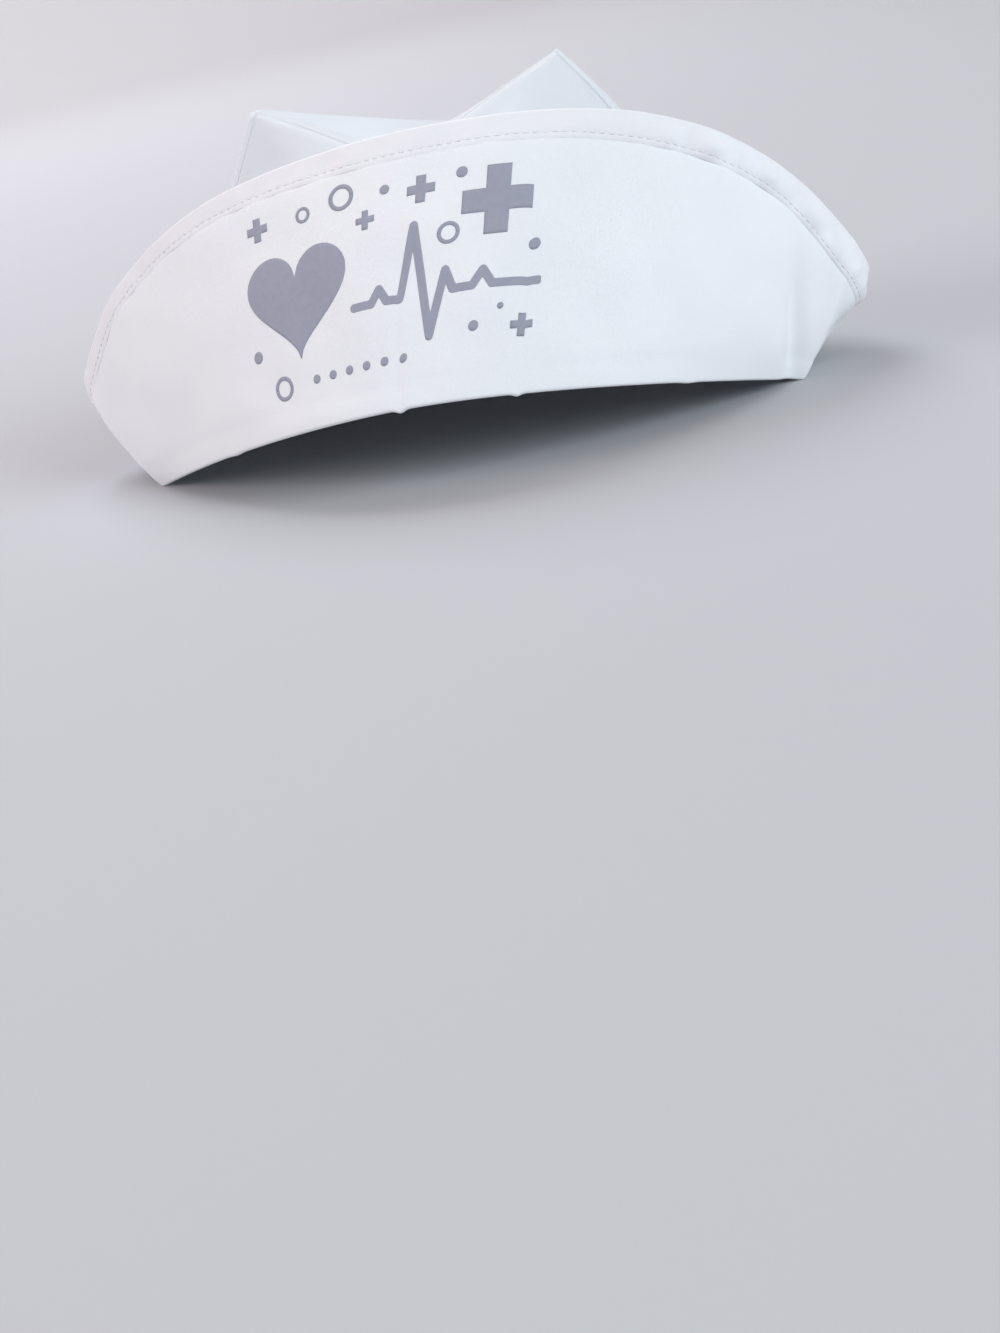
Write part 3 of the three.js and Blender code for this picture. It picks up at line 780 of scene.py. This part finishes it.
def stitch_mesh():
    face = OuterFace(hem_points[:, : len(HEM_LIP) + HEM_ROWS])
    points_all, faces_all, cloth_all = [], [], []
    rings, around = 7, 6
    # The row of each column that lies the same distance above the band's lower edge
    up = 1 - (hem_depth[:, 0] - STITCH_INSET) / (hem_depth[:, 0] - LIP_REACH)
    rows = len(HEM_LIP) + up * (HEM_ROWS - 1)
    line, _ = face.at(np.arange(len(hem_points)), rows)
    along = running(spacing(line))
    count = int(along[-1] // STITCH_PITCH)
    pitch = along[-1] / count
    random = np.random.default_rng(STITCH_SEED)
    for number in range(count):
        start = number * pitch + random.uniform(-STITCH_SHIFT, STITCH_SHIFT)
        length = STITCH_LENGTH + random.uniform(-STITCH_VARIES, STITCH_VARIES)
        places = start + np.linspace(0, 1, rings) * length
        columns = np.interp(places % along[-1], along, np.arange(len(along)))
        row = np.interp(columns, np.arange(len(rows) + 1), np.append(rows, rows[0]))
        centres, outward = face.at(columns, row)
        tangent = unit(centres[-1] - centres[0])
        sideways = unit(np.cross(outward, tangent))
        bulge = np.sin(np.pi * np.linspace(0.03, 0.97, rings))
        radius = THREAD_RADIUS * (THREAD_END + (1 - THREAD_END) * bulge)
        lift = -STITCH_SINK + STITCH_ARCH * bulge
        turn = np.linspace(0, 2 * np.pi, around, endpoint=False)
        loop = centres[:, None] + outward[:, None] * lift[:, None, None]
        loop = loop + radius[:, None, None] * (
            sideways[:, None] * np.cos(turn)[None, :, None] + outward[:, None] * np.sin(turn)[None, :, None]
        )
        first = len(points_all)
        points_all.extend(loop.reshape(-1, 3))
        for ring_number in range(rings - 1):
            for spoke in range(around):
                a = first + ring_number * around + spoke
                b = first + ring_number * around + (spoke + 1) % around
                faces_all.append((a, a + around, b + around, b))
                u = places[ring_number]
                cloth_all.extend(((u, spoke), (u + 0.3, spoke), (u + 0.3, spoke + 1), (u, spoke + 1)))
        faces_all.append(tuple(first + spoke for spoke in range(around)))
        faces_all.append(tuple(first + (rings - 1) * around + spoke for spoke in reversed(range(around))))
        cloth_all.extend([(0, 0)] * (2 * around))
    return mesh_object("hem_stitches", np.array(points_all), faces_all, cloth_all)


hem_stitches = stitch_mesh()

# Print: a plain medical motif in grey ink, drawn in millimetres on the panel
PRINT_RISE = 0.07
PRINT_SINK = 0.1
PRINT_ACROSS = -12
PRINT_SHARE = 0.54
INK_SPACING = 1.2
HEART_COLUMNS = 61
HEART_END = 0.998
SPOT_END = 0.1
HOOP_COLUMNS = 19
LINE_COLUMN = 0.35
LINE_STEP = 0.05
LINE_END = 0.97
panel = OuterFace(cuff_points[:, FOLD_ROWS - 1 : FOLD_ROWS + OUTSIDE_ROWS])
panel_step = spacing(panel.points[:, panel.points.shape[1] // 2])
signed_columns = np.arange(-cuff_ring.front, cuff_ring.front + 1)
signed_length = running(panel_step[signed_columns[:-1]])
signed_length -= signed_length[cuff_ring.front]


def on_panel(flat):
    """Points and normals on the cuff for flat (right, up) places round the print's middle"""
    column = np.interp(PRINT_ACROSS + flat[..., 0], signed_length, signed_columns)
    height = np.interp(column, signed_columns, (cuff.height - hem_depth[:, 0])[signed_columns])
    row = (PRINT_SHARE + flat[..., 1] / height) * (panel.points.shape[1] - 1)
    return panel.at(column, row)


class Ink:
    """Collects inked patches, each a closed thin shell over a grid of flat places."""

    def __init__(self):
        self.points, self.faces, self.cloth = [], [], []

    def add(self, flat, inked=None):
        """"inked" says which cells of the grid have ink. Without it all have."""
        points, normals = on_panel(flat)
        columns, rows = flat.shape[:2]
        first, count = len(self.points), columns * rows
        self.points.extend((points + normals * PRINT_RISE).reshape(-1, 3))
        self.points.extend((points - normals * PRINT_SINK).reshape(-1, 3))
        flat = flat.reshape(-1, 2)
        edges = set()
        for column in range(columns - 1):
            for row in range(rows - 1):
                if inked is not None and not inked[column, row]:
                    continue
                a = column * rows + row
                quad = (a, a + rows, a + rows + 1, a + 1)
                self.face(quad, first, flat)
                self.face(tuple(corner + count for corner in reversed(quad)), first, flat)
                for here, following in zip(quad, quad[1:] + quad[:1]):
                    if (following, here) in edges:
                        edges.remove((following, here))
                    else:
                        edges.add((here, following))
        for here, following in sorted(edges):
            self.face((following, here, here + count, following + count), first, flat)

    def face(self, corners, first, flat):
        self.faces.append(tuple(first + corner for corner in corners))
        self.cloth.extend(tuple(flat[corner % len(flat)]) for corner in corners)


def grid_between(low, high):
    """A grid of flat places between a lower and an upper line of as many points each"""
    tallest = np.linalg.norm(high - low, axis=1).max()
    share = np.linspace(0, 1, max(2, int(math.ceil(tallest / INK_SPACING)) + 1))[None, :, None]
    return low[:, None] * (1 - share) + high[:, None] * share


def ink_between(ink, across, low, high):
    ink.add(grid_between(np.stack([across, low], -1), np.stack([across, high], -1)))


def ink_plus(ink, centre, size, arm):
    """A plus sign cut out of one square grid"""
    marks = [-size / 2, -arm / 2, arm / 2, size / 2]
    lines = [np.array(marks[:1])]
    for start, end in zip(marks, marks[1:]):
        count = max(1, int(math.ceil((end - start) / INK_SPACING)))
        lines.append(start + (end - start) * np.arange(1, count + 1) / count)
    line = np.concatenate(lines)
    across, up = np.meshgrid(line + centre[0], line + centre[1], indexing="ij")
    middle = np.abs((line[1:] + line[:-1]) / 2) < arm / 2
    ink.add(np.stack([across, up], -1), middle[:, None] | middle[None])


def ink_heart(ink, centre, size):
    """A heart between its lower and upper outlines, from the usual curve in sines and cosines"""
    turn = np.linspace(0, math.pi, 400)
    width = np.sin(turn) ** 3
    height = (13 * np.cos(turn) - 5 * np.cos(2 * turn) - 2 * np.cos(3 * turn) - np.cos(4 * turn)) / 16
    across = np.sin(np.linspace(-1, 1, HEART_COLUMNS) * math.pi / 2) * HEART_END
    upper, lower = turn <= math.pi / 2, turn >= math.pi / 2
    top = np.interp(np.abs(across), width[upper], height[upper])
    bottom = np.interp(np.abs(across), width[lower][::-1], height[lower][::-1])
    low, high = centre[1] + bottom * size / 2, centre[1] + top * size / 2
    ink_between(ink, centre[0] + across * size / 2, low, high)


def ink_disc(ink, centre, radius):
    """A round spot between its lower and upper halves"""
    columns = max(9, int(radius * 6))
    across = -np.cos(np.linspace(SPOT_END, math.pi - SPOT_END, columns)) * radius
    half = np.sqrt(radius**2 - across**2)
    ink_between(ink, centre[0] + across, centre[1] - half, centre[1] + half)


def ink_hoop(ink, centre, radius, width):
    """A ring in two halves"""
    for start in (0, math.pi):
        angle = start + np.linspace(0, math.pi, HOOP_COLUMNS)
        spoke = np.stack([np.cos(angle), np.sin(angle)], -1)
        outer = spoke * (radius + width / 2) + np.array(centre)
        inner = spoke * (radius - width / 2) + np.array(centre)
        ink.add(grid_between(outer, inner))


def ink_line(ink, line, width):
    """A round-ended line from left to right: all within half its width of the line through its corners"""
    line = np.array(line, float)
    half = width / 2
    fine = np.arange(line[0, 0], line[-1, 0] + 0.01, LINE_STEP)
    level = np.interp(fine, line[:, 0], line[:, 1])
    past_end = half * LINE_END
    across = np.arange(line[0, 0] - past_end, line[-1, 0] + past_end, LINE_COLUMN)
    apart = across[:, None] - fine[None]
    reach = np.sqrt(np.maximum(half**2 - apart**2, 0))
    near = np.abs(apart) <= half
    top = np.where(near, level[None] + reach, -np.inf).max(1)
    bottom = np.where(near, level[None] - reach, np.inf).min(1)
    ink_between(ink, across, bottom, top)


# The heart, with its middle and size, and the pulse line through its corners
HEART = ((-31, 1), 37)
PULSE_WIDTH = 2.6
PULSE = [
    (-10, -8), (-4, -8), (-1.5, -4), (1, -8), (5.5, -8), (9.5, 13), (15, -21), (19.5, -2), (22, -8),
    (28, -8), (31, -3.5), (34, -8), (48, -8),
]
# Plus signs: middle, size and width of the arms
PLUSES = [
    ((34, 17.5), 21, 7.2), ((11, 24), 8.5, 2.9), ((-6, 18), 6, 2),
    ((-44, 25), 7.5, 2.6), ((44, -21), 7, 2.4),
]
# Rings: middle, radius and width
HOOPS = [((20, 9), 2.8, 1.2), ((-14, 27), 3.4, 1.3), ((-40, -26), 3.2, 1.3), ((-27, 25), 2.0, 1.0)]
# Spots: middle and radius
SPOTS = [
    ((0, 26), 1.5), ((23, 27), 1.7), ((46, 3), 1.8),
    ((-49, -14), 1.9), ((29, -20), 1.6), ((37, -15), 1.0),
]
SPOT_ROW = [((-26 + 6.5 * number, -26), 1.4) for number in range(6)]


def print_mesh():
    ink = Ink()
    ink_heart(ink, *HEART)
    ink_line(ink, PULSE, PULSE_WIDTH)
    for centre, size, arm in PLUSES:
        ink_plus(ink, centre, size, arm)
    for centre, radius, width in HOOPS:
        ink_hoop(ink, centre, radius, width)
    for centre, radius in SPOTS + SPOT_ROW:
        ink_disc(ink, centre, radius)
    used = sorted({corner for face in ink.faces for corner in face})
    order = {corner: place for place, corner in enumerate(used)}
    faces = [tuple(order[corner] for corner in face) for face in ink.faces]
    return mesh_object("cuff_print", np.array(ink.points)[used], faces, ink.cloth)


cuff_print = print_mesh()


# Materials, with distances in metres
TWILL_PITCH = 0.00055
THREAD_PITCH = 0.0004
RIB_WANDER = 2.2  # how far the ribs wander, in radians
CROSSED_ALONG = 0.9
CROSSED_UP = -2.1
CROSSED_SHARE = 0.35
SLUB_SCALE = (90, 900, 1)
SLUB_RELIEF = 1.4
FUZZ_RELIEF = 0.8
WEAVE_RELIEF = 0.5


class Nodes:
    """Short ways to build a shader's nodes"""

    def __init__(self, name):
        self.material = bpy.data.materials.new(name)
        self.material.use_nodes = True
        self.tree = self.material.node_tree
        self.tree.nodes.clear()
        out = self.node("ShaderNodeOutputMaterial")
        self.shader = self.node("ShaderNodeBsdfPrincipled")
        self.fill(out, {"Surface": self.shader.outputs[0]})

    def node(self, kind, inputs=(), **settings):
        made = self.tree.nodes.new(kind)
        for key, value in settings.items():
            setattr(made, key, value)
        return self.fill(made, inputs)

    def fill(self, made, inputs):
        for key, value in dict(inputs).items():
            if isinstance(value, bpy.types.NodeSocket):
                self.tree.links.new(value, made.inputs[key])
            else:
                made.inputs[key].default_value = value
        return made

    def maths(self, operation, first, second=0.0, third=0.0):
        return self.node("ShaderNodeMath", {0: first, 1: second, 2: third}, operation=operation).outputs[0]

    def noise(self, place, scale, detail):
        inputs = {"Vector": place, "Scale": scale, "Detail": detail}
        return self.node("ShaderNodeTexNoise", inputs).outputs[0]

    def mix(self, amount, first, second):
        made = self.node("ShaderNodeMix", {0: amount, 6: first, 7: second}, data_type="RGBA")
        return made.outputs[2]


def cotton(name, light, shade, weave_pitch=TWILL_PITCH):
    """Fine cotton twill: slanting ribs over crossed threads, with uneven yarn and faintly uneven colour.
    "light" and "shade" are the colours of the rib's crest and of the gaps. The weave follows the cloth."""
    n = Nodes(name)
    cloth = n.node("ShaderNodeUVMap", uv_map="cloth").outputs[0]
    parted = n.node("ShaderNodeSeparateXYZ", {0: cloth})
    u, v = parted.outputs[0], parted.outputs[1]
    wobble = n.noise(cloth, 260.0, 2.0)
    shift = n.maths("MULTIPLY", n.maths("SUBTRACT", wobble, 0.5), RIB_WANDER)
    turns = 2 * math.pi / weave_pitch
    slant = n.maths("ADD", n.maths("MULTIPLY_ADD", u, turns, shift), n.maths("MULTIPLY", v, turns))
    ribs = n.maths("SINE", slant)
    crossed = n.maths("MULTIPLY", u, turns * CROSSED_ALONG)
    threads = n.maths("SINE", n.maths("MULTIPLY_ADD", v, CROSSED_UP * turns, crossed))
    weave = n.maths("MULTIPLY_ADD", threads, CROSSED_SHARE, ribs)
    yarn = n.node("ShaderNodeMapping", {0: cloth, 3: SLUB_SCALE}).outputs[0]
    slub = n.noise(yarn, 1.0, 3.0)
    fuzz = n.noise(cloth, 3200.0, 2.0)
    relief = n.maths("MULTIPLY_ADD", fuzz, FUZZ_RELIEF, n.maths("MULTIPLY", weave, WEAVE_RELIEF))
    relief = n.maths("MULTIPLY_ADD", slub, SLUB_RELIEF, relief)
    bump = n.node("ShaderNodeBump", {"Height": relief, "Strength": 0.35, "Distance": 0.00009})
    n.fill(n.shader, {"Normal": bump.outputs[0]})
    place = n.node("ShaderNodeTexCoord").outputs["Object"]
    broad = n.noise(place, 22.0, 3.0)
    crest = n.maths("MULTIPLY_ADD", weave, 0.2, n.maths("MULTIPLY_ADD", broad, 0.9, 0.05))
    crest = n.node("ShaderNodeClamp", {0: crest}).outputs[0]
    roughness = n.maths("MULTIPLY_ADD", slub, 0.14, 0.76)
    n.fill(n.shader, {"Base Color": n.mix(crest, shade, light), "Roughness": roughness})
    n.fill(n.shader, {"Specular IOR Level": 0.25, "Sheen Weight": 0.12, "Sheen Roughness": 0.45})
    return n.material


INK_FULL = (0.30, 0.31, 0.38, 1)
INK_THIN = (0.36, 0.37, 0.44, 1)


def ink_on_cotton(name):
    """Grey ink that has soaked into the same weave, a little thinner on its crests"""
    n = Nodes(name)
    cloth = n.node("ShaderNodeUVMap", uv_map="cloth").outputs[0]
    parted = n.node("ShaderNodeSeparateXYZ", {0: cloth})
    turns = 2 * math.pi / TWILL_PITCH
    slant = n.maths("MULTIPLY", n.maths("ADD", parted.outputs[0], parted.outputs[1]), turns)
    ribs = n.maths("SINE", slant)
    fuzz = n.noise(cloth, 2600.0, 3.0)
    thin = n.noise(cloth, 420.0, 4.0)
    relief = n.maths("MULTIPLY_ADD", ribs, 0.5, fuzz)
    bump = n.node("ShaderNodeBump", {"Height": relief, "Strength": 0.3, "Distance": 0.00008})
    wear = n.maths("MULTIPLY_ADD", thin, 0.9, n.maths("MULTIPLY_ADD", ribs, 0.08, -0.05))
    wear = n.node("ShaderNodeClamp", {0: wear}).outputs[0]
    roughness = n.maths("MULTIPLY_ADD", fuzz, 0.15, 0.62)
    n.fill(n.shader, {"Base Color": n.mix(wear, INK_FULL, INK_THIN), "Roughness": roughness})
    n.fill(n.shader, {"Normal": bump.outputs[0], "Specular IOR Level": 0.3})
    return n.material


# Painted shade on the backdrop: the paper is lighter on the left and darker on the right, standing in for
# light that falls off towards the right.
PAPER_LEFT = (0.60, 0.60, 0.62, 1)
PAPER_RIGHT_SHADED = (0.43, 0.45, 0.475, 1)
PAPER_SLOPE = 0.3  # for each metre
PAPER_MIDDLE = 0.4
PAPER_GRAIN = 0.1


def paper(name):
    """Matte paper for the studio, plain but for painted shade: it goes softly from a lighter colour on the
    left to a darker one on the right, where less light falls.
    """
    n = Nodes(name)
    place = n.node("ShaderNodeTexCoord").outputs["Object"]
    across = n.node("ShaderNodeSeparateXYZ", {0: place}).outputs[0]
    grain = n.noise(place, 1.2, 2.0)
    slope = n.maths("MULTIPLY", across, PAPER_SLOPE)
    amount = n.maths("ADD", slope, n.maths("MULTIPLY_ADD", grain, PAPER_GRAIN, PAPER_MIDDLE))
    amount = n.node("ShaderNodeClamp", {0: amount}).outputs[0]
    n.fill(n.shader, {"Base Color": n.mix(amount, PAPER_LEFT, PAPER_RIGHT_SHADED)})
    n.fill(n.shader, {"Roughness": 0.95, "Specular IOR Level": 0.1})
    return n.material


cuff_cotton = cotton("cuff_cotton", (0.848, 0.864, 0.882, 1), (0.788, 0.804, 0.825, 1))
hem_cotton = cotton("hem_cotton", (0.845, 0.845, 0.868, 1), (0.79, 0.79, 0.812, 1))
# The crown is the same white cotton as the cuff. Its darker colour is painted shade for the crown's walls
# behind the cuff.
crown_cotton = cotton("crown_cotton", (0.75, 0.782, 0.817, 1), (0.695, 0.727, 0.764, 1))
thread = cotton("white_thread", (0.84, 0.845, 0.865, 1), (0.74, 0.75, 0.78, 1), THREAD_PITCH)
print_ink = ink_on_cotton("print_ink")

pieces = [
    (cuff_cloth, cuff_cotton, "cuff_cotton", "cuff"),
    (hem_cloth, hem_cotton, "hem_cotton", "hem_band"),
    (crown_front_cloth, crown_cotton, "crown_cotton", "crown_front"),
    (crown_back_cloth, crown_cotton, "crown_cotton", "crown_back"),
    (hem_stitches, thread, "hem_cotton", None),
    (cuff_print, print_ink, "cuff_cotton", None),
]
for piece, material, slot, node in pieces:
    piece.data.materials.append(material)
    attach(piece, "root")
    if node:
        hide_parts(node)


# Floor and backdrop: a wide bowl, level in the middle
FLOOR_RADIUS = 2.6
FLOOR_MIDDLE = 0.05
BOWL_CURVE = 1.3
BOWL_TOP = 2.6
BOWL_SIDES = 96
BOWL_ROWS = 20


def bowl():
    turn = np.linspace(0, 2 * np.pi, BOWL_SIDES, endpoint=False)
    profile = [(radius, 0.0) for radius in np.linspace(FLOOR_MIDDLE, FLOOR_RADIUS, BOWL_ROWS)]
    for angle in np.linspace(0, np.pi / 2, BOWL_ROWS)[1:]:
        profile.append((FLOOR_RADIUS + BOWL_CURVE * math.sin(angle), BOWL_CURVE * (1 - math.cos(angle))))
    profile += [(FLOOR_RADIUS + BOWL_CURVE, BOWL_TOP)]
    points = [(0, 0, 0)]
    for radius, height in profile:
        points += [(radius * math.cos(a), radius * math.sin(a), height) for a in turn]
    count = len(turn)
    faces = [(0, 1 + k, 1 + (k + 1) % count) for k in range(count)]
    for level in range(len(profile) - 1):
        for k in range(count):
            a = 1 + level * count + k
            b = 1 + level * count + (k + 1) % count
            faces.append((a, a + count, b + count, b))
    mesh = bpy.data.meshes.new("studio_floor")
    mesh.from_pydata(points, [], faces)
    mesh.shade_smooth()
    return placed("studio_floor", mesh)


studio_floor = bowl()
studio_floor.data.materials.append(paper("studio_paper"))


# Lights, in metres, watts and degrees
ALL_ROUND = 180
NARROW = 130  # keeps a light off the backdrop
CAP_MIDDLE = (0, 0, 0.05)


def soft_light(name, place, aim, size, power, colour, spread=ALL_ROUND):
    data = bpy.data.lights.new(name, "AREA")
    data.shape = "DISK"
    data.size = size
    data.energy = power
    data.color = colour
    data.spread = math.radians(spread)
    made = placed(name, data)
    made.location = place
    made.rotation_euler = (Vector(aim) - Vector(place)).to_track_quat("-Z", "Y").to_euler()


soft_light("key_light", (2.5, -1.7, 1.3), CAP_MIDDLE, 1.9, 40.5, (0.82, 0.936, 1.0), NARROW)
soft_light("fill_light", (-2.8, -1.1, 1.2), CAP_MIDDLE, 1.8, 24.6, (1.0, 0.94, 0.96), NARROW)
soft_light("top_light", (-0.7, 1.1, 2.0), (-0.2, 0.5, 0.0), 1.6, 28, (0.88, 0.915, 1.0))
soft_light("backdrop_light", (-1.0, 2.1, 1.9), (-1.4, 3.2, 0.1), 1.6, 20, (1.0, 0.99, 1.0))

world = bpy.data.worlds.new("studio")
world.use_nodes = True
background = world.node_tree.nodes["Background"]
background.inputs["Color"].default_value = (1.0, 0.84, 0.8, 1)
background.inputs["Strength"].default_value = 0.49
bpy.context.scene.world = world
bpy.context.scene.view_settings.view_transform = "Standard"


# Camera: its place and turn were fitted to the outline of the cap in the photograph
CAMERA_AIM = np.array([0, -30, 60])
CAMERA_AZIMUTH = math.radians(12.182)
CAMERA_ELEVATION = math.radians(9.838)
CAMERA_ROLL = math.radians(-12.37)
CAMERA_YAW = math.radians(-2.389)
CAMERA_PITCH = math.radians(-11.58)
CAMERA_DISTANCE = 605.92
FOCAL_PIXELS = 1900
FRAME_HEIGHT = 1333
SENSOR = 36
CAMERA_SHIFT = -14.92  # how far the aim moves back with the middle of the cap's box


def make_camera():
    level = math.cos(CAMERA_ELEVATION)
    back = Vector(
        (math.sin(CAMERA_AZIMUTH) * level, -math.cos(CAMERA_AZIMUTH) * level, math.sin(CAMERA_ELEVATION))
    )
    forward = -back
    right = forward.cross(Vector((0, 0, 1))).normalized()
    up = right.cross(forward)
    rolled = Matrix.Rotation(-CAMERA_ROLL, 3, forward)
    right, up = rolled @ right, rolled @ up
    yawed = Matrix.Rotation(CAMERA_YAW, 3, up)
    forward, right = yawed @ forward, yawed @ right
    pitched = Matrix.Rotation(CAMERA_PITCH, 3, right)
    forward, up = pitched @ forward, pitched @ up
    data = bpy.data.cameras.new("camera")
    data.sensor_width = SENSOR
    data.lens = SENSOR * FOCAL_PIXELS / FRAME_HEIGHT
    data.clip_start, data.clip_end = 0.01, 50
    made = placed("camera", data)
    aim = Vector((CAMERA_AIM + np.array([0, CAMERA_SHIFT, 0])) * MM)
    turn = Matrix((right, up, -forward)).transposed().to_4x4()
    made.matrix_world = Matrix.Translation(aim + back * CAMERA_DISTANCE * MM) @ turn
    bpy.context.scene.camera = made


make_camera()
